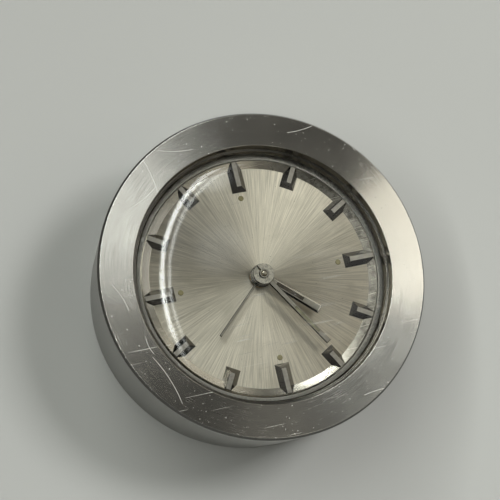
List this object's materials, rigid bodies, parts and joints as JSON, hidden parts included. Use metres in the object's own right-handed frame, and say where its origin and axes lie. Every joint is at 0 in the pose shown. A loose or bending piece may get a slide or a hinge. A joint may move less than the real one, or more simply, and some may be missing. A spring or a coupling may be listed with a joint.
{
  "type": "table clock",
  "caption": "Round steel table clock with a domed crystal, baton hour marks, alarm hand, and winding keys and setting knobs recessed in the back.",
  "frame": {"origin": "centre of the rear rim that the clock rests on", "axes": "+Z out of the dial, +Y to 12 o'clock, +X to 3 o'clock"},
  "size_m": [0.073, 0.073, 0.0314],
  "materials": {
    "brushed_steel": "circular brushed",
    "steel_wall": "satin",
    "clear_acrylic": "clear, polished",
    "pale_metal": "satin",
    "silver_dial": "sunray brushed",
    "polished_mark": "polished",
    "hand_steel": "polished",
    "brass": "machined",
    "spring_steel": "blued",
    "plain_steel": "turned"
  },
  "bodies": {
    "case": {"case_drum": "steel_wall", "bezel_ring": "brushed_steel", "crystal": "clear_acrylic", "dial_ring": "pale_metal", "dial_plate": "silver_dial", "hour_mark_01": "polished_mark", "hour_mark_02": "polished_mark", "hour_mark_03": "polished_mark", "hour_mark_04": "polished_mark", "hour_mark_05": "polished_mark", "hour_mark_06": "polished_mark", "hour_mark_07": "polished_mark", "hour_mark_08": "polished_mark", "hour_mark_09": "polished_mark", "hour_mark_10": "polished_mark", "hour_mark_11": "polished_mark", "hour_mark_12": "polished_mark", "movement_ring": "plain_steel", "front_plate": "brass", "back_plate": "brass", "pillar_1": "plain_steel", "pillar_2": "plain_steel", "pillar_3": "plain_steel", "pillar_4": "plain_steel", "hairspring": "spring_steel", "alarm_release_spring": "spring_steel", "back_cover": "brushed_steel", "cover_screw_1": "plain_steel", "cover_screw_2": "plain_steel", "cover_screw_3": "plain_steel"},
    "minute_hand": {"minute_hand": "hand_steel", "cannon_pinion": "plain_steel"},
    "minute_wheel": {"minute_wheel": "brass", "time_set_knob": "plain_steel"},
    "hour_hand": {"hour_hand": "hand_steel", "hour_wheel": "brass"},
    "alarm_hand": {"alarm_hand": "hand_steel", "alarm_wheel": "brass"},
    "alarm_set_arbor": {"alarm_set_arbor": "brass", "alarm_set_knob": "plain_steel"},
    "time_barrel": {"time_barrel": "brass", "time_mainspring": "spring_steel"},
    "centre_wheel": {"centre_wheel": "brass"},
    "third_wheel": {"third_wheel": "brass"},
    "fourth_wheel": {"fourth_wheel": "brass"},
    "escape_wheel": {"escape_wheel": "brass"},
    "pallet_lever": {"pallet_lever": "plain_steel"},
    "balance_wheel": {"balance_wheel": "brass"},
    "regulator_lever": {"regulator_lever": "plain_steel"},
    "time_key": {"time_key": "plain_steel", "time_winding_arbor": "plain_steel"},
    "time_click": {"time_click": "plain_steel"},
    "alarm_barrel": {"alarm_barrel": "brass", "alarm_mainspring": "spring_steel"},
    "strike_wheel": {"strike_wheel": "brass"},
    "alarm_hammer": {"alarm_hammer": "plain_steel"},
    "alarm_key": {"alarm_key": "plain_steel", "alarm_winding_arbor": "plain_steel"},
    "alarm_click": {"alarm_click": "plain_steel"},
    "alarm_stop_button": {"alarm_stop_button": "plain_steel"}
  },
  "joints": [
    {"name": "minute_hand_turn", "type": "hinge", "parent": "case", "child": "minute_hand", "pos_m": [0, 0, 0.025], "axis": [0, 0, 1], "continuous": true},
    {"name": "minute_wheel_turn", "type": "hinge", "parent": "case", "child": "minute_wheel", "pos_m": [0.00161, -0.01092, 0.019], "axis": [0, 0, 1], "continuous": true},
    {"name": "hour_hand_turn", "type": "hinge", "parent": "case", "child": "hour_hand", "pos_m": [0, 0, 0.024], "axis": [0, 0, 1], "continuous": true},
    {"name": "alarm_hand_turn", "type": "hinge", "parent": "case", "child": "alarm_hand", "pos_m": [0, 0, 0.023], "axis": [0, 0, 1], "continuous": true},
    {"name": "alarm_set_turn", "type": "hinge", "parent": "case", "child": "alarm_set_arbor", "pos_m": [0.01093, 0.00154, 0.02], "axis": [0, 0, 1], "continuous": true},
    {"name": "time_barrel_turn", "type": "hinge", "parent": "case", "child": "time_barrel", "pos_m": [-0.00998, -0.00699, 0.014], "axis": [0, 0, 1], "continuous": true},
    {"name": "centre_wheel_turn", "type": "hinge", "parent": "case", "child": "centre_wheel", "pos_m": [0, 0, 0.016], "axis": [0, 0, 1], "continuous": true},
    {"name": "third_wheel_turn", "type": "hinge", "parent": "case", "child": "third_wheel", "pos_m": [-0.0054, 0.00935, 0.013], "axis": [0, 0, 1], "continuous": true},
    {"name": "fourth_wheel_turn", "type": "hinge", "parent": "case", "child": "fourth_wheel", "pos_m": [0.00414, 0.01104, 0.013], "axis": [0, 0, 1], "continuous": true},
    {"name": "escape_wheel_turn", "type": "hinge", "parent": "case", "child": "escape_wheel", "pos_m": [0.01277, 0.01418, 0.015], "axis": [0, 0, 1], "continuous": true},
    {"name": "balance_swing", "type": "hinge", "parent": "case", "child": "balance_wheel", "pos_m": [0.02118, 0.0062, 0.014], "axis": [0, 0, 1], "range_deg": [-220, 220], "stiffness_Nm_per_rad": 0.000002},
    {"name": "pallet_rock", "type": "hinge", "parent": "case", "child": "pallet_lever", "pos_m": [0.01547, 0.0095, 0.015], "axis": [0, 0, 1], "range_deg": [-5, 5]},
    {"name": "regulator_swing", "type": "hinge", "parent": "case", "child": "regulator_lever", "pos_m": [0.02118, 0.0062, 0.008], "axis": [0, 0, 1], "range_deg": [-25, 25]},
    {"name": "time_key_wind", "type": "hinge", "parent": "case", "child": "time_key", "pos_m": [-0.00998, -0.00699, 0.005], "axis": [0, 0, 1], "range_deg": [0, 1800]},
    {"name": "time_click_lift", "type": "hinge", "parent": "case", "child": "time_click", "pos_m": [-0.01116, -0.00029, 0.008], "axis": [0, 0, 1], "range_deg": [-15, 0]},
    {"name": "strike_wheel_turn", "type": "hinge", "parent": "case", "child": "strike_wheel", "pos_m": [0.01613, -0.01654, 0.012], "axis": [0, 0, 1], "continuous": true},
    {"name": "alarm_barrel_turn", "type": "hinge", "parent": "case", "child": "alarm_barrel", "pos_m": [0.01133, -0.00823, 0.014], "axis": [0, 0, 1], "continuous": true},
    {"name": "alarm_hammer_swing", "type": "hinge", "parent": "case", "child": "alarm_hammer", "pos_m": [0.01146, -0.01981, 0.012], "axis": [0, 0, 1], "range_deg": [-4, 4]},
    {"name": "alarm_key_wind", "type": "hinge", "parent": "case", "child": "alarm_key", "pos_m": [0.01133, -0.00823, 0.005], "axis": [0, 0, 1], "range_deg": [0, 1800]},
    {"name": "alarm_click_lift", "type": "hinge", "parent": "case", "child": "alarm_click", "pos_m": [0.01251, -0.00153, 0.008], "axis": [0, 0, 1], "range_deg": [-15, 0]},
    {"name": "alarm_stop_push", "type": "slide", "parent": "case", "child": "alarm_stop_button", "axis": [0, 0, 1], "range_m": [0, 0.0015]}
  ],
  "couplings": [
    {"joint": "minute_wheel_turn", "follows": "minute_hand_turn", "ratio": -0.33333},
    {"joint": "hour_hand_turn", "follows": "minute_hand_turn", "ratio": 0.083333},
    {"joint": "alarm_set_turn", "follows": "alarm_hand_turn", "ratio": -4},
    {"joint": "third_wheel_turn", "follows": "fourth_wheel_turn", "ratio": -0.13333},
    {"joint": "centre_wheel_turn", "follows": "fourth_wheel_turn", "ratio": 0.016667},
    {"joint": "time_barrel_turn", "follows": "fourth_wheel_turn", "ratio": -0.0027778},
    {"joint": "escape_wheel_turn", "follows": "fourth_wheel_turn", "ratio": -8},
    {"joint": "pallet_rock", "follows": "balance_swing", "ratio": 0.0225},
    {"joint": "alarm_barrel_turn", "follows": "strike_wheel_turn", "ratio": -0.25}
  ]
}
